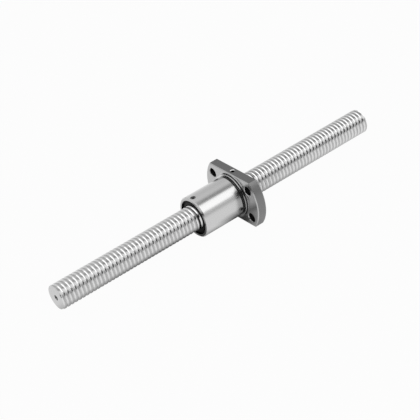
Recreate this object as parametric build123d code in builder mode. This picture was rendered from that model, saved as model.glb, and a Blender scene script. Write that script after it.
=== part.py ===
from build123d import *
import math
import os

# Miniature ball screw with a flanged single nut, in millimetres.
# The screw lies along X. The origin is on its axis, in the face of the flange that the nut body
# stands on. The nut body points to -X and the flange flats face +Z and -Z.
# Everything round the screw is measured outwards from it, so the sizes below give a body of 20 in
# diameter, a flange of 37 with flats 24 apart, and bolts on a circle of 29.

# Screw
screw_diameter = 11.9
screw_length = 180.0
screw_start = -99.0
lead = 2.0
end_chamfer = 0.25
centre_drill_mouth = 2.6
centre_drill_bore = 2.0
centre_drill_depth = 5.0
centre_drill_cone = 60.0
centre_drill_point = 120.0

# Balls and the grooves that they roll in. A groove has two arcs, one for each side of the ball, and
# the centre of each arc lies this far beyond the ball's centre.
ball_diameter = 1.2
groove_clearance = 0.05
arc_offset = 0.05
ball_centre_rise = 0.2
ball_spacing_gap = 0.03
channel_clearance = 0.06

# Nut body. The wall is measured around the pockets in its two ends.
body_length = 23.0
body_chamfer = 0.5
body_wall = 1.4
land_clearance = 0.25

# Flange. Its rim and its flats stand out of the body by these heights.
flange_rim = 8.5
flange_flat_rise = 2.0
flange_thickness = 5.0
flange_chamfer = 0.4
bolt_to_rim = 4.0
bolt_hole = 4.5
bolt_angle = 30.0
bolt_chamfer = 0.25
oil_hole = 2.0
oil_hole_chamfer = 0.3
oil_hole_angle = 90.0

# Collar between body and flange, the relief in front of it, and the undercut at its root
collar_rise = 0.9
collar_width = 0.9
relief_width = 1.05
relief_depth = 0.5
undercut_width = 0.4
undercut_depth = 0.3
face_undercut_width = 0.4
face_undercut_depth = 0.3

# Ball circuit: loaded turns, and the way back through the wall of the nut
circuit_turns = 8
circuit_end = -0.6
return_rise = 1.6
return_bend = 1.8

# Return caps in the two end pockets
cap_wall = 0.19
cap_fit = 0.05
cap_bore_clearance = 0.3
cap_edge = 0.2
cap_pin_diameter = 1.0
cap_pin_length = 3.0
cap_pin_clearance = 0.02
gallery_width = 1.2
gallery_depth = 0.6
gallery_port = 1.0

# Wiper rings
wiper_bore_clearance = 0.15
wiper_rim_clearance = 0.1
wiper_side_clearance = 0.1
wiper_recess = 0.6
front_wiper_length = 2.4
rear_wiper_length = 1.3
wiper_step_depth = 0.25
wiper_step_width = 1.0
labyrinth_depth = 0.2
labyrinth_width = 0.3
labyrinth_pitch = 0.6

# Dog point set screws that keep the front wiper in
set_screw_angles = (90, 270)
set_screw_diameter = 2.4
set_screw_clearance = 0.05
set_screw_sink = 0.25
set_screw_socket = 1.3
set_screw_socket_depth = 0.6
dog_diameter = 1.2
dog_reach = 0.7
dog_clearance = 0.15

# Retaining ring that keeps the rear wiper in
ring_setback = 0.3
ring_thickness = 0.6
ring_seat_depth = 0.5
ring_width = 1.1
ring_clearance = 0.05
ring_gap_angle = 40.0
ring_ear = 1.8
ring_ear_hole = 0.8
ring_ear_inset = 0.45

# How the solids are made: turns of thread to spare past each end of a threaded bar, and how far a
# cutting tool stands out of what it cuts
spare_turns = 2
cut_margin = 1.0

# Values that follow from the sizes above
crest_radius = screw_diameter / 2
ball_radius = ball_diameter / 2
groove_radius = ball_radius + groove_clearance + arc_offset
ball_circle_radius = crest_radius + ball_centre_rise
land_radius = crest_radius + land_clearance
channel_radius = ball_radius + channel_clearance
return_radius = ball_circle_radius + return_rise
pocket_radius = return_radius + channel_radius + cap_wall
body_radius = pocket_radius + body_wall
flange_radius = body_radius + flange_rim
flat_height = body_radius + flange_flat_rise
bolt_radius = flange_radius - bolt_to_rim
cap_pin_radius = (land_radius + pocket_radius) / 2
screw_end = screw_start + screw_length
lead_angle = math.atan(lead / (2 * math.pi * ball_circle_radius))

pickup_angle = math.degrees(math.acos(ball_circle_radius / return_radius))
loaded_turns = circuit_turns - 2 * pickup_angle / 360
circuit_start = circuit_end - loaded_turns * lead
front_angle = 360 * circuit_start / lead
rear_angle = 360 * circuit_end / lead
return_angle = rear_angle + pickup_angle
pickup_sink = return_radius * math.sin(math.radians(pickup_angle)) * math.tan(lead_angle)
front_floor = circuit_start - pickup_sink + return_bend
rear_floor = circuit_end + pickup_sink - return_bend

front_wiper_x = -body_length + wiper_recess
front_cap_x = front_wiper_x + front_wiper_length + wiper_side_clearance
set_screw_x = front_wiper_x + front_wiper_length / 2
ring_x = flange_thickness - ring_setback - ring_thickness
rear_wiper_x = ring_x - wiper_side_clearance - rear_wiper_length
rear_cap_end = rear_wiper_x - wiper_side_clearance

os.makedirs("parts", exist_ok=True)


def on_cylinder(x, radius, angle):
    """A point at this angle about the screw's axis, counted from +Y towards +Z, in degrees."""
    return Vector(x, radius * math.cos(math.radians(angle)), radius * math.sin(math.radians(angle)))


def thread_outline(x, land, side, turns):
    """Lengthwise half section of a threaded tube from the groove at x on, down to half the land's
    radius. side is -1 for the screw, whose groove is cut in, and +1 for the space inside the nut,
    where it stands out."""
    contact = (ball_radius + groove_clearance) * math.sqrt(0.5)
    shift = arc_offset * math.sqrt(0.5)
    arc_centre = ball_circle_radius - side * shift
    half_width = math.sqrt(groove_radius**2 - (land - arc_centre) ** 2) - shift
    bottom = arc_centre + side * math.sqrt(groove_radius**2 - shift**2)
    contact_radius = ball_circle_radius + side * contact
    start = x - half_width
    end = start + turns * lead
    with BuildSketch(Plane.XY) as outline:
        with BuildLine():
            for turn in range(turns):
                middle = x + turn * lead
                near = (middle - half_width, land)
                far = (middle + half_width, land)
                ThreePointArc(near, (middle - contact, contact_radius), (middle, bottom))
                ThreePointArc((middle, bottom), (middle + contact, contact_radius), far)
                Line(far, (middle + lead - half_width, land))
            Polyline((end, land), (end, land / 2), (start, land / 2), (start, land))
        make_face()
    return outline.sketch.faces()[0]


def threaded_bar(start, end, land, side):
    """Solid bar from start to end. The half section is turned once round the axis while it moves on
    by one lead, its two open steps are closed, and the tube is filled and cut to length."""
    first_groove = lead * (math.floor(start / lead) - spare_turns)
    turns = math.ceil((end - first_groove) / lead) + spare_turns
    outline = thread_outline(first_groove, land, side, turns)
    tube = Solid.extrude_linear_with_rotation(outline, (first_groove, 0, 0), (lead, 0, 0), 360)
    skin = tube.faces().filter_by(GeomType.PLANE, reverse=True)
    first_step = thread_outline(first_groove, land, side, 1)
    last_step = first_step.moved(Location((turns * lead, 0, 0)))
    with BuildPart() as bar:
        add(Solid(Shell(skin + [first_step, last_step])))
        with BuildSketch(Plane.YZ.offset(start - cut_margin)):
            Circle(0.75 * land)
        extrude(amount=end - start + 2 * cut_margin)
        for x, outwards in ((start, -1), (end, 1)):
            with BuildSketch(Plane.YZ.offset(x)):
                Circle(land + lead)
            extrude(amount=outwards * lead * 2 * spare_turns, mode=Mode.SUBTRACT)
    return bar.part


def ring_of(inner, outer, x, length):
    """A plain ring about the screw's axis, used as a cutting tool."""
    with BuildPart() as ring:
        with BuildSketch(Plane.YZ.offset(x)):
            Circle(outer)
            Circle(inner, mode=Mode.SUBTRACT)
        extrude(amount=length)
    return ring.part


# Ball circuit. The balls leave the groove along its tangent, and turn into the return hole where
# that line meets it.
front_pickup = on_cylinder(circuit_start, ball_circle_radius, front_angle)
front_corner = on_cylinder(circuit_start - pickup_sink, return_radius, return_angle)
rear_corner = on_cylinder(circuit_end + pickup_sink, return_radius, return_angle)
rear_pickup = on_cylinder(circuit_end, ball_circle_radius, rear_angle)

with BuildLine() as return_path:
    FilletPolyline(front_pickup, front_corner, rear_corner, rear_pickup, radius=return_bend)
return_wire = return_path.wires()[0]

with BuildPart() as return_channel:
    with BuildSketch(Plane(front_pickup, z_dir=front_corner - front_pickup)):
        Circle(channel_radius)
    sweep(path=return_wire)

# The balls fill the whole circuit, evenly spaced
helix_length = loaded_turns * lead / math.sin(lead_angle)
circuit_length = helix_length + return_wire.length
ball_count = math.floor(circuit_length / (ball_diameter + ball_spacing_gap))
ball_pitch = circuit_length / ball_count

turn_groups = [[] for turn in range(circuit_turns)]
front_bend_balls = []
return_balls = []
rear_bend_balls = []
for number in range(ball_count):
    run = number * ball_pitch
    if run < helix_length:
        x = circuit_end - run * math.sin(lead_angle)
        place = on_cylinder(x, ball_circle_radius, 360 * x / lead)
        turn_groups[int((circuit_end - x) / lead)].append(place)
    else:
        place = return_wire.position_at(run - helix_length, position_mode=PositionMode.LENGTH)
        if place.X < front_floor:
            front_bend_balls.append(place)
        elif place.X > rear_floor:
            rear_bend_balls.append(place)
        else:
            return_balls.append(place)


def write_balls(name, places):
    with BuildPart() as balls:
        with Locations(*places):
            Sphere(ball_radius)
    balls.part.label = name
    export_step(balls.part, f"parts/{name}.step")


for index, places in enumerate(reversed(turn_groups)):
    write_balls(f"loaded_balls_turn_{index + 1}", places)
write_balls("front_bend_balls", front_bend_balls)
write_balls("return_balls", return_balls)
write_balls("rear_bend_balls", rear_bend_balls)

# Screw shaft

def chamfer_tool(x, outwards):
    """What a chamfer takes off the end of the screw at x. outwards is -1 or +1."""
    reach = end_chamfer + cut_margin
    with BuildPart() as tool:
        with BuildSketch(Plane.XY):
            with BuildLine():
                Polyline(
                    (x + outwards * cut_margin, crest_radius - reach),
                    (x - outwards * reach, crest_radius + cut_margin),
                    (x + outwards * cut_margin, crest_radius + cut_margin),
                    close=True,
                )
            make_face()
        revolve(axis=Axis.X)
    return tool.part


def centre_drill(x, outwards):
    """Conical centre with its pilot bore, in from the end of the screw at x."""
    mouth = centre_drill_mouth / 2
    bore = centre_drill_bore / 2
    cone_depth = (mouth - bore) / math.tan(math.radians(centre_drill_cone / 2))
    point_depth = bore / math.tan(math.radians(centre_drill_point / 2))
    with BuildPart() as drill:
        with BuildSketch(Plane.XY):
            with BuildLine():
                Polyline(
                    (x, 0),
                    (x, mouth),
                    (x - outwards * cone_depth, bore),
                    (x - outwards * centre_drill_depth, bore),
                    (x - outwards * (centre_drill_depth + point_depth), 0),
                    close=True,
                )
            make_face()
        revolve(axis=Axis.X)
    return drill.part


with BuildPart() as screw_shaft:
    add(threaded_bar(screw_start, screw_end, crest_radius, -1))
    for end_x, outwards in ((screw_start, -1), (screw_end, 1)):
        add(chamfer_tool(end_x, outwards), mode=Mode.SUBTRACT)
        add(centre_drill(end_x, outwards), mode=Mode.SUBTRACT)
screw_shaft.part.label = "screw_shaft"
export_step(screw_shaft.part, "parts/screw_shaft.step")

# Nut body

nut_core = threaded_bar(front_cap_x - cut_margin, rear_cap_end + cut_margin, land_radius, 1)
bolt_y = 2 * bolt_radius * math.cos(math.radians(bolt_angle))
bolt_z = 2 * bolt_radius * math.sin(math.radians(bolt_angle))
set_screw_seat = pocket_radius + set_screw_clearance
set_screw_top = body_radius - set_screw_sink
set_screw_hole = set_screw_diameter + 2 * set_screw_clearance
pin_hole = cap_pin_diameter + 2 * cap_pin_clearance
pin_angle = return_angle + 180
collar_radius = body_radius + collar_rise
ring_seat_radius = pocket_radius + ring_seat_depth
ring_seat_width = ring_thickness + 2 * ring_clearance


def cap_pin_plane(floor_x):
    """Start of a cap pin, which lies half in the nut body and half in the cap."""
    origin = on_cylinder(floor_x - cap_pin_length / 2, cap_pin_radius, pin_angle)
    return Plane(origin, x_dir=(0, 1, 0), z_dir=(1, 0, 0))


def radial_plane(x, angle, radius):
    """Plane that faces away from the screw's axis, at this radius."""
    return Plane(on_cylinder(x, radius, angle), x_dir=(1, 0, 0), z_dir=on_cylinder(0, 1, angle))


def cap_pin_hole(floor_x):
    with BuildPart() as hole:
        with BuildSketch(cap_pin_plane(floor_x)):
            Circle(pin_hole / 2)
        extrude(amount=cap_pin_length)
    return hole.part


with BuildPart() as nut_body:
    with BuildSketch(Plane.YZ):
        Circle(flange_radius)
        Rectangle(2 * flange_radius, 2 * flat_height, mode=Mode.INTERSECT)
    extrude(amount=flange_thickness)
    chamfer(nut_body.edges().filter_by(Axis.X, reverse=True), flange_chamfer)
    with BuildSketch(Plane.YZ.offset(flange_thickness)):
        with GridLocations(bolt_y, bolt_z, 2, 2):
            Circle(bolt_hole / 2)
    extrude(amount=-flange_thickness, mode=Mode.SUBTRACT)
    bolt_edges = nut_body.edges().filter_by(GeomType.CIRCLE).sort_by(SortBy.RADIUS)[:8]
    chamfer(bolt_edges, bolt_chamfer)
    with BuildSketch(Plane.YZ):
        Circle(body_radius)
    extrude(amount=-body_length)
    chamfer(nut_body.faces().sort_by(Axis.X)[0].edges(), body_chamfer)
    relief_x = -collar_width - relief_width
    relief = ring_of(body_radius - relief_depth, collar_radius, relief_x, relief_width)
    add(relief, mode=Mode.SUBTRACT)
    with BuildSketch(Plane.YZ):
        Circle(collar_radius)
        Circle(body_radius, mode=Mode.SUBTRACT)
    extrude(amount=-collar_width)
    undercut_outer = collar_radius + face_undercut_width
    undercut_length = undercut_width + face_undercut_depth
    undercut = ring_of(
        collar_radius - undercut_depth, undercut_outer, -undercut_width, undercut_length
    )
    add(undercut, mode=Mode.SUBTRACT)
    with BuildSketch(Plane.YZ.offset(-body_length)):
        Circle(pocket_radius)
    extrude(amount=body_length + front_floor, mode=Mode.SUBTRACT)
    with BuildSketch(Plane.YZ.offset(rear_floor)):
        Circle(pocket_radius)
    extrude(amount=flange_thickness - rear_floor, mode=Mode.SUBTRACT)
    add(nut_core, mode=Mode.SUBTRACT)
    add(return_channel.part, mode=Mode.SUBTRACT)
    ring_seat = ring_of(
        pocket_radius - cut_margin, ring_seat_radius, ring_x - ring_clearance, ring_seat_width
    )
    add(ring_seat, mode=Mode.SUBTRACT)
    for floor_x in (front_floor, rear_floor):
        add(cap_pin_hole(floor_x), mode=Mode.SUBTRACT)
    for angle in set_screw_angles:
        with BuildSketch(radial_plane(set_screw_x, angle, body_radius)):
            Circle(set_screw_hole / 2)
        extrude(amount=pocket_radius - body_radius - cut_margin, mode=Mode.SUBTRACT)
    with BuildSketch(radial_plane(flange_thickness / 2, oil_hole_angle, flat_height)):
        Circle(oil_hole / 2)
    extrude(amount=pocket_radius - flat_height - cut_margin, mode=Mode.SUBTRACT)
    with BuildSketch(radial_plane(flange_thickness / 2, oil_hole_angle, flat_height)):
        Circle(oil_hole / 2 + oil_hole_chamfer)
    extrude(amount=-oil_hole_chamfer, taper=45, mode=Mode.SUBTRACT)
nut_body.part.label = "nut_body"
export_step(nut_body.part, "parts/nut_body.step")

# Return caps, which lift the balls out of the groove and turn them into the return hole


def return_cap(name, x, length, floor_x, with_gallery):
    inner = crest_radius + cap_bore_clearance
    outer = pocket_radius - cap_fit
    with BuildPart() as cap:
        with BuildSketch(Plane.YZ.offset(x)):
            Circle(outer)
            Circle(inner, mode=Mode.SUBTRACT)
        extrude(amount=length)
        chamfer(cap.edges().filter_by(GeomType.CIRCLE).sort_by(SortBy.RADIUS)[-2:], cap_edge)
        add(nut_core, mode=Mode.SUBTRACT)
        add(return_channel.part, mode=Mode.SUBTRACT)
        add(cap_pin_hole(floor_x), mode=Mode.SUBTRACT)
        if with_gallery:
            gallery_x = x + length - gallery_width - cap_edge
            gallery = ring_of(outer - gallery_depth, outer + cut_margin, gallery_x, gallery_width)
            add(gallery, mode=Mode.SUBTRACT)
            with BuildSketch(radial_plane(gallery_x + gallery_width / 2, oil_hole_angle, outer)):
                Circle(gallery_port / 2)
            extrude(amount=inner - outer - cap_edge, mode=Mode.SUBTRACT)
    cap.part.label = name
    export_step(cap.part, f"parts/{name}.step")


return_cap("front_return_cap", front_cap_x, front_floor - front_cap_x, front_floor, False)
return_cap("rear_return_cap", rear_floor, rear_cap_end - rear_floor, rear_floor, True)

for name, floor_x in (("front_cap_pin", front_floor), ("rear_cap_pin", rear_floor)):
    with BuildPart() as cap_pin:
        with BuildSketch(cap_pin_plane(floor_x).offset(cap_pin_clearance)):
            Circle(cap_pin_diameter / 2)
        extrude(amount=cap_pin_length - 2 * cap_pin_clearance)
    cap_pin.part.label = name
    export_step(cap_pin.part, f"parts/{name}.step")

# Wiper rings


def wiper(name, x, length, outwards, groove_width):
    """Ring with labyrinth grooves in its bore and a step in its outer face. outwards is the side
    of that face, -1 or +1."""
    inner = crest_radius + wiper_bore_clearance
    outer = pocket_radius - wiper_rim_clearance
    face_x = x if outwards < 0 else x + length - wiper_step_depth
    with BuildPart() as ring:
        with BuildSketch(Plane.YZ.offset(x)):
            Circle(outer)
            Circle(inner, mode=Mode.SUBTRACT)
        extrude(amount=length)
        step = ring_of(outer - wiper_step_width, outer + cut_margin, face_x, wiper_step_depth)
        add(step, mode=Mode.SUBTRACT)
        grooves = int((length - labyrinth_width) / labyrinth_pitch)
        pattern_length = (grooves - 1) * labyrinth_pitch + labyrinth_width
        for groove in range(grooves):
            groove_x = x + (length - pattern_length) / 2 + groove * labyrinth_pitch
            cut = ring_of(inner - cut_margin, inner + labyrinth_depth, groove_x, labyrinth_width)
            add(cut, mode=Mode.SUBTRACT)
        if groove_width:
            bottom = pocket_radius - dog_reach - dog_clearance
            dog_x = x + (length - groove_width) / 2
            add(ring_of(bottom, outer + cut_margin, dog_x, groove_width), mode=Mode.SUBTRACT)
    ring.part.label = name
    export_step(ring.part, f"parts/{name}.step")


dog_groove = dog_diameter + 2 * dog_clearance
wiper("front_wiper", front_wiper_x, front_wiper_length, -1, dog_groove)
wiper("rear_wiper", rear_wiper_x, rear_wiper_length, 1, 0)

# Set screws, one above and one below the axis

with BuildPart() as wiper_set_screws:
    for angle in set_screw_angles:
        with BuildSketch(radial_plane(set_screw_x, angle, set_screw_seat)):
            Circle(set_screw_diameter / 2)
        extrude(amount=set_screw_top - set_screw_seat)
        with BuildSketch(radial_plane(set_screw_x, angle, pocket_radius - dog_reach)):
            Circle(dog_diameter / 2)
        extrude(amount=set_screw_seat - pocket_radius + dog_reach)
        with BuildSketch(radial_plane(set_screw_x, angle, set_screw_top)):
            RegularPolygon(set_screw_socket / 2, 6, major_radius=False)
        extrude(amount=-set_screw_socket_depth, mode=Mode.SUBTRACT)
wiper_set_screws.part.label = "wiper_set_screws"
export_step(wiper_set_screws.part, "parts/wiper_set_screws.step")

# Retaining ring with two ears, open at the top

with BuildPart() as retaining_ring:
    outer = ring_seat_radius - ring_clearance
    ear_radius = outer - ring_width / 2 - ring_ear_inset
    gap_height = outer + cut_margin
    gap_half = gap_height * math.tan(math.radians(ring_gap_angle / 2))
    with BuildSketch(Plane.YZ.offset(ring_x)):
        Circle(outer)
        Circle(outer - ring_width, mode=Mode.SUBTRACT)
        with BuildLine():
            Polyline((0, 0), (gap_half, gap_height), (-gap_half, gap_height), close=True)
        make_face(mode=Mode.SUBTRACT)
        with PolarLocations(ear_radius, 2, 90 - ring_gap_angle / 2, ring_gap_angle, endpoint=True):
            Circle(ring_ear / 2)
            Circle(ring_ear_hole / 2, mode=Mode.SUBTRACT)
    extrude(amount=ring_thickness)
retaining_ring.part.label = "retaining_ring"
export_step(retaining_ring.part, "parts/retaining_ring.step")
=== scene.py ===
import math

import bpy
from mathutils import Matrix, Vector


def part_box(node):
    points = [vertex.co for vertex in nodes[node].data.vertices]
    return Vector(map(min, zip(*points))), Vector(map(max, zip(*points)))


mm = 0.001
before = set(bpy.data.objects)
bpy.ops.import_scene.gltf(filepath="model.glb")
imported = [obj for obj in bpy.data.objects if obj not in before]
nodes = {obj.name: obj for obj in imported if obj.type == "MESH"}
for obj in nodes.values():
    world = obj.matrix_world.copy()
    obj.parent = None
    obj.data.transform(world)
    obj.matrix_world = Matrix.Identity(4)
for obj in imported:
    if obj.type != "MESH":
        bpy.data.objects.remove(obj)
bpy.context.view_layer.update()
print("frame loaded:", len(nodes), "pieces")


def linear(hexColour):
    # sRGB hex to the linear colour that a socket takes
    parts = [int(hexColour[i:i + 2], 16) / 255 for i in (1, 3, 5)]
    return (*[p / 12.92 if p <= 0.04045 else ((p + 0.055) / 1.055) ** 2.4 for p in parts], 1.0)


def addNode(tree, kind, settings=None, links=None):
    # settings are sockets or properties of the node, links are sockets fed by another node
    node = tree.nodes.new(kind)
    for name, value in (settings or {}).items():
        if isinstance(name, int) or name in node.inputs:
            node.inputs[name].default_value = value
        else:
            setattr(node, name, value)
    for name, source in (links or {}).items():
        tree.links.new(source, node.inputs[name])
    return node


def newMaterial(name, roughness, metallic=1.0):
    material = bpy.data.materials.new(name)
    material.use_nodes = True
    tree = material.node_tree
    surface = tree.nodes["Principled BSDF"]
    surface.inputs["Metallic"].default_value = metallic
    surface.inputs["Roughness"].default_value = roughness
    return material, tree, surface


def feedSurface(tree, surface, colour, roughness, height, finish):
    bump = addNode(
        tree, "ShaderNodeBump", {"Strength": finish["lineStrength"], "Distance": finish["lineDepth"] * mm},
        {"Height": height},
    )
    tree.links.new(colour, surface.inputs["Base Color"])
    tree.links.new(roughness, surface.inputs["Roughness"])
    tree.links.new(bump.outputs[0], surface.inputs["Normal"])


def giveFinish(material, *names):
    for name in names:
        for slot in nodes[name].material_slots:
            slot.material = material


# Camera, from the fit to the photograph: angles in degrees, lengths in mm
photoView = {
    "azimuth": 32.79,
    "elevation": 33.64,
    "roll": -10.71,
    "lens": 121.62,  # on a 36 mm sensor
    "distance": 654.0,
    "pixelsPerRadian": 1418.85,
    "frameCentre": 210.0,
    "originPixel": (232.09, 194.99),
    "nearest": 50.0,  # nothing closer or farther than these is drawn
    "farthest": 20000.0,
}


def makeCamera(view):
    azimuth, elevation, roll = (math.radians(view[k]) for k in ("azimuth", "elevation", "roll"))
    forward = Vector((
        math.sin(azimuth) * math.cos(elevation), math.cos(azimuth) * math.cos(elevation), -math.sin(elevation)
    ))
    level = Vector((math.cos(azimuth), -math.sin(azimuth), 0))
    upright = level.cross(forward)
    right = math.cos(roll) * level + math.sin(roll) * upright
    up = math.cos(roll) * upright - math.sin(roll) * level
    scale = view["distance"] / view["pixelsPerRadian"]
    across = (view["originPixel"][0] - view["frameCentre"]) * scale
    upwards = (view["frameCentre"] - view["originPixel"][1]) * scale
    place = -view["distance"] * forward - across * right - upwards * up
    data = bpy.data.cameras.new("photoCamera")
    data.lens = view["lens"]
    data.clip_start = view["nearest"] * mm
    data.clip_end = view["farthest"] * mm
    camera = bpy.data.objects.new("photoCamera", data)
    bpy.context.collection.objects.link(camera)
    turn = Matrix((right, up, -forward)).transposed()
    camera.matrix_world = Matrix.Translation(place * mm) @ turn.to_4x4()
    bpy.context.scene.camera = camera


makeCamera(photoView)
print("camera set")


# Studio: grey room with a long softbox over the near side, a second one overhead, and a white table
studio = {
    # grey of the room by the angle about the screw's axis, from the near side (0) over the top (90),
    # for directions that point up to so far along the screw, from -X (-1) to +X (1)
    "room": [
        {
            "upTo": 0.22,
            "greys": [
                (-180, 0.95), (-2, 0.95), (3, 0.80), (9, 0.03), (38, 0.03), (45, 0.80), (125, 0.80),
                (180, 0.80),
            ],
        },
        {
            "upTo": 0.56,
            "greys": [
                (-180, 0.98), (-2, 0.98), (6, 0.92), (14, 0.70), (24, 0.74), (33, 0.92), (74, 0.84),
                (80, 0.40), (86, 0.32), (93, 0.38), (101, 0.72), (110, 0.88), (125, 0.84), (140, 0.75),
                (180, 0.84),
            ],
        },
        {
            "upTo": 1.0,
            "greys": [
                (-180, 0.95), (-2, 0.95), (6, 0.80), (14, 0.25), (24, 0.25), (32, 1.00), (70, 1.00),
                (79, 0.25), (150, 0.25), (180, 0.50),
            ],
        },
    ],
    "blend": 0.2,  # how softly one of these turns into the next
    "tableSize": 6.0,  # m
    "tableMatt": "#707070",
    "tableSeen": 0.97,  # how much of the table is plain white to the eye, the rest takes shadow
    # the same in reflections, where the shadow shows more: in the middle of a shadow and outside it
    "mirroredNear": 0.04,
    "mirroredFar": 0.97,
    # shadows under the screw and under the flange, in mm: middle, how much longer they are along the
    # screw than across it, and where they begin and cease to fade, measured across it
    "shadows": [
        {"middle": (-35.0, 0.0), "stretch": 11.0, "nearEdge": 1.5, "farEdge": 12.5},
        {"middle": (0.0, -4.0), "stretch": 1.0, "nearEdge": 3.0, "farEdge": 16.0},
    ],
}
softboxes = {
    # angle about the axis in degrees, then in m the distance from it, the place and length along it and
    # the width, and the strength
    "keySoftbox": {
        "angle": 55, "distance": 0.8, "along": 0.8, "length": 1.5, "width": 0.6, "strength": 0.7,
    },
    "topSoftbox": {
        "angle": 88, "distance": 0.8, "along": -0.38, "length": 0.9, "width": 1.35, "strength": 0.9,
    },
}


def makeRoom():
    world = bpy.data.worlds.new("studioRoom")
    bpy.context.scene.world = world
    world.use_nodes = True
    tree = world.node_tree
    background = tree.nodes["Background"]
    direction = addNode(tree, "ShaderNodeTexCoord")
    parts = addNode(tree, "ShaderNodeSeparateXYZ", links={0: direction.outputs["Generated"]})
    nearSide = addNode(tree, "ShaderNodeMath", {"operation": "MULTIPLY", 1: -1.0}, {0: parts.outputs["Y"]})
    angle = addNode(
        tree, "ShaderNodeMath", {"operation": "ARCTAN2"}, {0: parts.outputs["Z"], 1: nearSide.outputs[0]}
    )
    turn = addNode(
        tree, "ShaderNodeMapRange", {"From Min": -math.pi, "From Max": math.pi}, {"Value": angle.outputs[0]}
    )
    seen = None
    edge = 0
    for side in studio["room"]:
        ramp = addNode(tree, "ShaderNodeValToRGB", links={0: turn.outputs[0]})
        stops = ramp.color_ramp.elements
        while len(stops) > 1:
            stops.remove(stops[-1])
        for index, (degrees, grey) in enumerate(side["greys"]):
            place = (degrees + 180) / 360
            stop = stops[0] if index == 0 else stops.new(place)
            stop.position = place
            stop.color = (grey, grey, grey, 1)
        if seen:
            reach = addNode(
                tree, "ShaderNodeMapRange",
                {"From Min": edge - studio["blend"] / 2, "From Max": edge + studio["blend"] / 2},
                {"Value": parts.outputs["X"]},
            )
            both = addNode(
                tree, "ShaderNodeMix", {"data_type": "RGBA"},
                {0: reach.outputs[0], 6: seen, 7: ramp.outputs["Color"]},
            )
            seen = both.outputs[2]
        else:
            seen = ramp.outputs["Color"]
        edge = side["upTo"]
    tree.links.new(seen, background.inputs["Color"])


def makeSoftbox(name, box):
    data = bpy.data.lights.new(name, "AREA")
    data.shape = "RECTANGLE"
    data.size = box["length"]
    data.size_y = box["width"]
    data.energy = box["strength"] * math.pi * box["length"] * box["width"]
    angle = math.radians(box["angle"])
    back = Vector((0, -math.cos(angle), math.sin(angle)))
    along = Vector((1, 0, 0))
    lamp = bpy.data.objects.new(name, data)
    bpy.context.collection.objects.link(lamp)
    turn = Matrix((along, back.cross(along), back)).transposed()
    lamp.matrix_world = Matrix.Translation(back * box["distance"] + along * box["along"]) @ turn.to_4x4()


def makeTable():
    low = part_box("nut_body")[0]
    bpy.ops.object.select_all(action="DESELECT")
    bpy.ops.mesh.primitive_plane_add(size=studio["tableSize"], location=(0, 0, low[2]))
    table = bpy.context.object
    table.name = "studioTable"
    material = bpy.data.materials.new("white laminate table")
    material.use_nodes = True
    tree = material.node_tree
    tree.nodes.remove(tree.nodes["Principled BSDF"])
    matt = addNode(tree, "ShaderNodeBsdfDiffuse", {"Color": linear(studio["tableMatt"])})
    white = addNode(tree, "ShaderNodeEmission", {"Color": (1, 1, 1, 1), "Strength": 1.0})
    path = addNode(tree, "ShaderNodeLightPath")
    seen = addNode(
        tree, "ShaderNodeMath", {"operation": "MULTIPLY", 1: studio["tableSeen"]},
        {0: path.outputs["Is Camera Ray"]},
    )
    bounced = addNode(
        tree, "ShaderNodeMath", {"operation": "MAXIMUM"},
        {0: path.outputs["Is Glossy Ray"], 1: path.outputs["Is Transmission Ray"]},
    )
    place = addNode(tree, "ShaderNodeTexCoord")
    plain = None
    for shadow in studio["shadows"]:
        x, y = shadow["middle"]
        fromMiddle = addNode(
            tree, "ShaderNodeVectorMath", {"operation": "SUBTRACT", 1: (x * mm, y * mm, 0)},
            {0: place.outputs["Object"]},
        )
        across = addNode(
            tree, "ShaderNodeVectorMath", {"operation": "MULTIPLY", 1: (1 / shadow["stretch"], 1, 0)},
            {0: fromMiddle.outputs[0]},
        )
        away = addNode(tree, "ShaderNodeVectorMath", {"operation": "LENGTH"}, {0: across.outputs[0]})
        faded = addNode(
            tree, "ShaderNodeMapRange",
            {
                "From Min": shadow["nearEdge"] * mm, "From Max": shadow["farEdge"] * mm,
                "To Min": studio["mirroredNear"], "To Max": studio["mirroredFar"],
            },
            {"Value": away.outputs["Value"]},
        )
        if plain:
            faded = addNode(
                tree, "ShaderNodeMath", {"operation": "MINIMUM"}, {0: plain.outputs[0], 1: faded.outputs[0]}
            )
        plain = faded
    mirrored = addNode(
        tree, "ShaderNodeMath", {"operation": "MULTIPLY"}, {0: plain.outputs[0], 1: bounced.outputs[0]}
    )
    share = addNode(
        tree, "ShaderNodeMath", {"operation": "MAXIMUM"}, {0: seen.outputs[0], 1: mirrored.outputs[0]}
    )
    mix = addNode(
        tree, "ShaderNodeMixShader", links={0: share.outputs[0], 1: matt.outputs[0], 2: white.outputs[0]}
    )
    tree.links.new(mix.outputs[0], tree.nodes["Material Output"].inputs["Surface"])
    table.data.materials.append(material)


makeRoom()
for name, box in softboxes.items():
    makeSoftbox(name, box)
makeTable()
bpy.context.scene.view_settings.view_transform = "Standard"
print("studio set")


# Faint dull patches, left by oil and hands on the ground steel: levels of the noise between which a
# patch comes up
patchLevels = (0.35, 0.75)


def addPatches(tree, place, plain, finish):
    patches = addNode(
        tree, "ShaderNodeTexNoise",
        {
            "Scale": 1 / (finish["patchSize"] * mm), "Detail": finish["patchDetail"],
            "Roughness": finish["patchGrain"],
        },
        {"Vector": place.outputs["Object"]},
    )
    dull = addNode(
        tree, "ShaderNodeMapRange",
        {
            "From Min": patchLevels[0], "From Max": patchLevels[1],
            "To Min": 1.0, "To Max": finish["patchDullness"],
        },
        {"Value": patches.outputs[0]},
    )
    roughness = addNode(
        tree, "ShaderNodeMath", {"operation": "MULTIPLY"}, {0: plain.outputs[0], 1: dull.outputs[0]}
    )
    return roughness.outputs[0]


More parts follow.
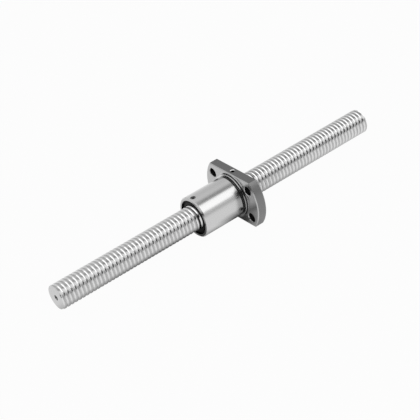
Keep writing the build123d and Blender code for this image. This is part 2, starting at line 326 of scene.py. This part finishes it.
# Screw: hardened carbon steel. The crests are ground on the outside and the groove along the thread,
# so both are bright with fine lines along the thread, and the groove is the smoother one.
screwFinish = {
    "lead": 2.0,
    "crestRadius": 5.95,
    "crestEdge": (0.05, 0.02),  # mm below the crest, where the groove's colour ends and the crest's begins
    "crest": "#b4b4b4",
    "groove": "#dcdcdc",
    "faced": "#c6c6c6",
    "middle": -9.0,
    "halfLength": 90.0,
    "faceDepth": 0.02,  # mm in from each end that still count as its face
    # painted shade inside the centre holes
    "holeShade": "#6a6a6a",
    "centreHole": 1.28,
    "crestRoughness": 0.24,
    "grooveRoughness": 0.17,
    "lineScale": 9.0,  # lines 0.05 mm apart with finer ones between, real grinding lines are 0.02 mm apart
    "linesAlong": 60.0,  # how fast the lines change along the screw, for each m
    "lineDetail": 2.0,
    "lineGrain": 0.6,
    "lineDepth": 0.0004,
    "lineStrength": 0.5,
    "patchSize": 9.0,
    "patchDetail": 3.0,
    "patchGrain": 0.55,
    "patchDullness": 1.35,
}


def makeScrewSteel(finish):
    material, tree, surface = newMaterial(
        "carbon steel, hardened and ground thread", finish["crestRoughness"]
    )
    place = addNode(tree, "ShaderNodeTexCoord")
    parts = addNode(tree, "ShaderNodeSeparateXYZ", links={0: place.outputs["Object"]})
    # angle about the axis with its seam underneath
    angle = addNode(
        tree, "ShaderNodeMath", {"operation": "ARCTAN2"}, {0: parts.outputs["Y"], 1: parts.outputs["Z"]}
    )
    along = addNode(
        tree, "ShaderNodeMath", {"operation": "MULTIPLY", 1: 2 * math.pi / (finish["lead"] * mm)},
        {0: parts.outputs["X"]},
    )
    # the thread climbs by one lead for each turn from +Y to +Z, which is against the angle
    phase = addNode(tree, "ShaderNodeMath", {"operation": "ADD"}, {0: along.outputs[0], 1: angle.outputs[0]})
    # a ring in two coordinates keeps the lines whole across the seam
    ringX = addNode(tree, "ShaderNodeMath", {"operation": "COSINE"}, {0: phase.outputs[0]})
    ringY = addNode(tree, "ShaderNodeMath", {"operation": "SINE"}, {0: phase.outputs[0]})
    slow = addNode(
        tree, "ShaderNodeMath", {"operation": "MULTIPLY", 1: finish["linesAlong"]}, {0: parts.outputs["X"]}
    )
    ring = addNode(
        tree, "ShaderNodeCombineXYZ", links={0: ringX.outputs[0], 1: ringY.outputs[0], 2: slow.outputs[0]}
    )
    lines = addNode(
        tree, "ShaderNodeTexNoise",
        {"Scale": finish["lineScale"], "Detail": finish["lineDetail"], "Roughness": finish["lineGrain"]},
        {"Vector": ring.outputs[0]},
    )
    # crest or groove, by the distance from the axis
    side = addNode(tree, "ShaderNodeCombineXYZ", links={1: parts.outputs["Y"], 2: parts.outputs["Z"]})
    radius = addNode(tree, "ShaderNodeVectorMath", {"operation": "LENGTH"}, {0: side.outputs[0]})
    grooveEnd, crestStart = (finish["crestRadius"] - depth for depth in finish["crestEdge"])
    onCrest = addNode(
        tree, "ShaderNodeMapRange", {"From Min": grooveEnd * mm, "From Max": crestStart * mm},
        {"Value": radius.outputs["Value"]},
    )
    ground = addNode(
        tree, "ShaderNodeMix",
        {"data_type": "RGBA", 6: linear(finish["groove"]), 7: linear(finish["crest"])},
        {0: onCrest.outputs[0]},
    )
    # the end faces, and painted shade inside their centre holes
    threaded = addNode(
        tree, "ShaderNodeMath",
        {
            "operation": "COMPARE", 1: finish["middle"] * mm,
            2: (finish["halfLength"] - finish["faceDepth"]) * mm,
        },
        {0: parts.outputs["X"]},
    )
    turned = addNode(
        tree, "ShaderNodeMix", {"data_type": "RGBA", 6: linear(finish["faced"])},
        {0: threaded.outputs[0], 7: ground.outputs[2]},
    )
    inHole = addNode(
        tree, "ShaderNodeMath", {"operation": "COMPARE", 1: 0.0, 2: finish["centreHole"] * mm},
        {0: radius.outputs["Value"]},
    )
    colour = addNode(
        tree, "ShaderNodeMix", {"data_type": "RGBA", 7: linear(finish["holeShade"])},
        {0: inHole.outputs[0], 6: turned.outputs[2]},
    )
    plain = addNode(
        tree, "ShaderNodeMapRange",
        {"To Min": finish["grooveRoughness"], "To Max": finish["crestRoughness"]},
        {"Value": onCrest.outputs[0]},
    )
    roughness = addPatches(tree, place, plain, finish)
    feedSurface(tree, surface, colour.outputs[2], roughness, lines.outputs[0], finish)
    return material


giveFinish(makeScrewSteel(screwFinish), "screw_shaft")


# Nut: bearing steel. The body is ground bright and the flange's faces are turned fine, so they are a
# little darker. The rim is turned and the flats milled, both left grey by hardening. The relief is left
# unground, and it and the holes are drawn far darker still with painted shade.
nutFinish = {
    "ground": "#cdcdcd",
    "groundRoughness": 0.2,
    "faced": "#b8b8b8",
    "facedRoughness": 0.2,
    "turned": "#808080",
    "turnedRoughness": 0.3,
    "hardened": "#7c7c7c",
    "hardenedRoughness": 0.42,
    # the relief's unground steel, darkened further with painted shade of the recess
    "reliefAndShade": "#383838",
    "reliefAndShadeRoughness": 0.5,
    # painted shade inside the bore, the bolt holes and the set screw holes
    "holeShade": "#212121",
    "holeShadeRoughness": 0.5,
    "boltPlace": (12.557, 7.25),
    "setScrewPlace": -21.2,
    # where the other finishes and the painted shade of the relief and the holes lie: limits in mm of the
    # place along the axis, the distance from it, the height above or below it, and the distances from the
    # middles of the nearest bolt hole and of the set screw holes
    "areas": [
        {"finish": "faced", "limits": {"x": (-0.1, 5.1), "radius": (11.3, 30)}},
        {"finish": "faced", "limits": {"x": (-23.1, -22.95), "radius": (0, 9.6)}},
        {"finish": "turned", "limits": {"x": (0.42, 4.58), "radius": (17.9, 30)}},
        {"finish": "hardened", "limits": {"x": (0.42, 4.58), "height": (11.98, 30)}},
        {"finish": "reliefAndShade", "limits": {"x": (-1.94, -0.91), "radius": (9.0, 9.98)}},
        {"finish": "reliefAndShade", "limits": {"x": (-0.39, 0.29), "radius": (10.4, 11.29)}},
        {"finish": "holeShade", "limits": {"x": (0.26, 4.74), "bolt": (0, 2.4)}},
        {"finish": "holeShade", "limits": {"x": (-22.9, 4.95), "radius": (0, 9.3)}},
        {"finish": "holeShade", "limits": {"x": (1.3, 3.7), "radius": (0, 11.65), "bolt": (6, 30)}},
        {"finish": "holeShade", "limits": {"setScrew": (0, 1.27), "radius": (0, 9.98)}},
    ],
    "lineSpacing": 0.35,  # real grinding lines are 0.03 mm apart, drawn coarser to show
    "lineDetail": 2.0,
    "lineGrain": 0.7,
    "lineDepth": 0.0006,
    "lineStrength": 0.6,
    "patchSize": 14.0,
    "patchDetail": 4.0,
    "patchGrain": 0.6,
    "patchDullness": 1.3,
}


def makeNutSteel(finish):
    material, tree, surface = newMaterial("bearing steel, hardened and ground", finish["groundRoughness"])
    place = addNode(tree, "ShaderNodeTexCoord")
    parts = addNode(tree, "ShaderNodeSeparateXYZ", links={0: place.outputs["Object"]})
    side = addNode(tree, "ShaderNodeCombineXYZ", links={1: parts.outputs["Y"], 2: parts.outputs["Z"]})
    radius = addNode(tree, "ShaderNodeVectorMath", {"operation": "LENGTH"}, {0: side.outputs[0]})
    height = addNode(tree, "ShaderNodeMath", {"operation": "ABSOLUTE"}, {0: parts.outputs["Z"]})
    level = addNode(tree, "ShaderNodeMath", {"operation": "ABSOLUTE"}, {0: parts.outputs["Y"]})
    # the four bolt holes folded onto one, and the distance from its line
    fold = addNode(tree, "ShaderNodeCombineXYZ", links={1: level.outputs[0], 2: height.outputs[0]})
    boltY, boltZ = finish["boltPlace"]
    bolt = addNode(
        tree, "ShaderNodeVectorMath", {"operation": "DISTANCE", 1: (0, boltY * mm, boltZ * mm)},
        {0: fold.outputs[0]},
    )
    flat = addNode(tree, "ShaderNodeCombineXYZ", links={0: parts.outputs["X"], 1: parts.outputs["Y"]})
    setScrew = addNode(
        tree, "ShaderNodeVectorMath", {"operation": "DISTANCE", 1: (finish["setScrewPlace"] * mm, 0, 0)},
        {0: flat.outputs[0]},
    )
    measures = {
        "x": parts.outputs["X"], "radius": radius.outputs["Value"], "height": height.outputs[0],
        "bolt": bolt.outputs["Value"], "setScrew": setScrew.outputs["Value"],
    }
    # ground steel everywhere, and each area's own finish or painted shade laid over it
    steel = addNode(tree, "ShaderNodeMix", {"data_type": "RGBA", "Factor": 0.0, 6: linear(finish["ground"])})
    plain = addNode(
        tree, "ShaderNodeMix", {"data_type": "FLOAT", "Factor": 0.0, 2: finish["groundRoughness"]}
    )
    for area in finish["areas"]:
        within = None
        for measure, (low, high) in area["limits"].items():
            band = addNode(
                tree, "ShaderNodeMath",
                {"operation": "COMPARE", 1: (low + high) / 2 * mm, 2: (high - low) / 2 * mm},
                {0: measures[measure]},
            )
            if within:
                band = addNode(
                    tree, "ShaderNodeMath", {"operation": "MULTIPLY"},
                    {0: within.outputs[0], 1: band.outputs[0]},
                )
            within = band
        steel = addNode(
            tree, "ShaderNodeMix", {"data_type": "RGBA", 7: linear(finish[area["finish"]])},
            {0: within.outputs[0], 6: steel.outputs[2]},
        )
        plain = addNode(
            tree, "ShaderNodeMix", {"data_type": "FLOAT", 3: finish[area["finish"] + "Roughness"]},
            {0: within.outputs[0], 2: plain.outputs[0]},
        )
    roughness = addPatches(tree, place, plain, finish)
    # grinding lines round the axis on the body, and in circles on the faces
    stretch = addNode(
        tree, "ShaderNodeCombineXYZ", links={0: parts.outputs["X"], 1: radius.outputs["Value"]}
    )
    lines = addNode(
        tree, "ShaderNodeTexNoise",
        {
            "noise_dimensions": "2D", "Scale": 1 / (finish["lineSpacing"] * mm),
            "Detail": finish["lineDetail"], "Roughness": finish["lineGrain"],
        },
        {"Vector": stretch.outputs[0]},
    )
    feedSurface(tree, surface, steel.outputs[2], roughness, lines.outputs[0], finish)
    return material


giveFinish(makeNutSteel(nutFinish), "nut_body")


# The small pieces, each with what its making leaves: pins and balls ground and lapped, the set screws
# turned and thinly blackened, the ring stamped and black, caps and wipers moulded in black acetal,
# drawn blacker than acetal is with painted shade of the nut's mouth.
# Grain is the size in mm of the fine pattern, lineDepth its depth, stretch how its lines run, and
# mottle how much darker the stained spots are.
smallFinishes = {
    "pin steel, ground": {
        "pieces": ["front_cap_pin", "rear_cap_pin"], "colour": "#c7c7c7", "metallic": 1.0,
        "roughness": 0.2, "grain": 0.3, "stretch": (6.0, 1.0, 1.0), "lineDepth": 0.0006, "mottle": 0.04,
    },
    "set screw steel, thin black oxide": {
        "pieces": ["wiper_set_screws"], "colour": "#808080", "metallic": 1.0,
        "roughness": 0.4, "grain": 0.25, "stretch": (1.0, 1.0, 5.0), "lineDepth": 0.002, "mottle": 0.08,
    },
    "spring steel, black oxide": {
        "pieces": ["retaining_ring"], "colour": "#2c2c2c", "metallic": 1.0,
        "roughness": 0.42, "grain": 0.3, "stretch": (1.0, 1.0, 1.0), "lineDepth": 0.003, "mottle": 0.25,
    },
    "acetal, moulded black, darker with painted shade": {
        "pieces": ["front_return_cap", "rear_return_cap", "front_wiper", "rear_wiper"],
        # blacker than acetal's own black: painted shade of the nut's mouth where the wipers sit
        "colour": "#040404", "metallic": 0.0, "specular": 0.1,
        "roughness": 0.42, "grain": 0.5, "stretch": (1.0, 1.0, 1.0), "lineDepth": 0.004, "mottle": 0.2,
    },
    "bearing steel, lapped": {
        "pieces": [name for name in nodes if "balls" in name], "colour": "#d7d7d7", "metallic": 1.0,
        "roughness": 0.06, "grain": 0.8, "stretch": (1.0, 1.0, 1.0), "lineDepth": 0.0002, "mottle": 0.03,
    },
}
# the same for all of them, where a piece doesn't say otherwise
smallPattern = {
    "specular": 0.5,
    "grainDetail": 3.0,
    "grainRoughness": 0.6,
    "spotScale": 0.15,  # of the grain's scale
    "spotDetail": 2.0,
    "smoothest": 0.8,  # of the roughness
    "roughest": 1.25,
    "lineStrength": 0.5,
}


def makeSmallFinish(name, finish):
    material, tree, surface = newMaterial(name, finish["roughness"], finish["metallic"])
    surface.inputs["Specular IOR Level"].default_value = finish["specular"]
    place = addNode(tree, "ShaderNodeTexCoord")
    stretch = addNode(
        tree, "ShaderNodeMapping", {"Scale": finish["stretch"]}, {"Vector": place.outputs["Object"]}
    )
    grain = addNode(
        tree, "ShaderNodeTexNoise",
        {
            "Scale": 1 / (finish["grain"] * mm), "Detail": finish["grainDetail"],
            "Roughness": finish["grainRoughness"],
        },
        {"Vector": stretch.outputs[0]},
    )
    spots = addNode(
        tree, "ShaderNodeTexNoise",
        {"Scale": finish["spotScale"] / (finish["grain"] * mm), "Detail": finish["spotDetail"]},
        {"Vector": place.outputs["Object"]},
    )
    colour = linear(finish["colour"])
    darker = tuple(part * (1 - finish["mottle"]) for part in colour[:3]) + (1.0,)
    tone = addNode(
        tree, "ShaderNodeMix", {"data_type": "RGBA", 6: colour, 7: darker}, {0: spots.outputs[0]}
    )
    roughness = addNode(
        tree, "ShaderNodeMapRange",
        {
            "To Min": finish["roughness"] * finish["smoothest"],
            "To Max": finish["roughness"] * finish["roughest"],
        },
        {"Value": grain.outputs[0]},
    )
    feedSurface(tree, surface, tone.outputs[2], roughness.outputs[0], grain.outputs[0], finish)
    return material


for name, finish in smallFinishes.items():
    giveFinish(makeSmallFinish(name, {**smallPattern, **finish}), *finish["pieces"])
print("finishes given")
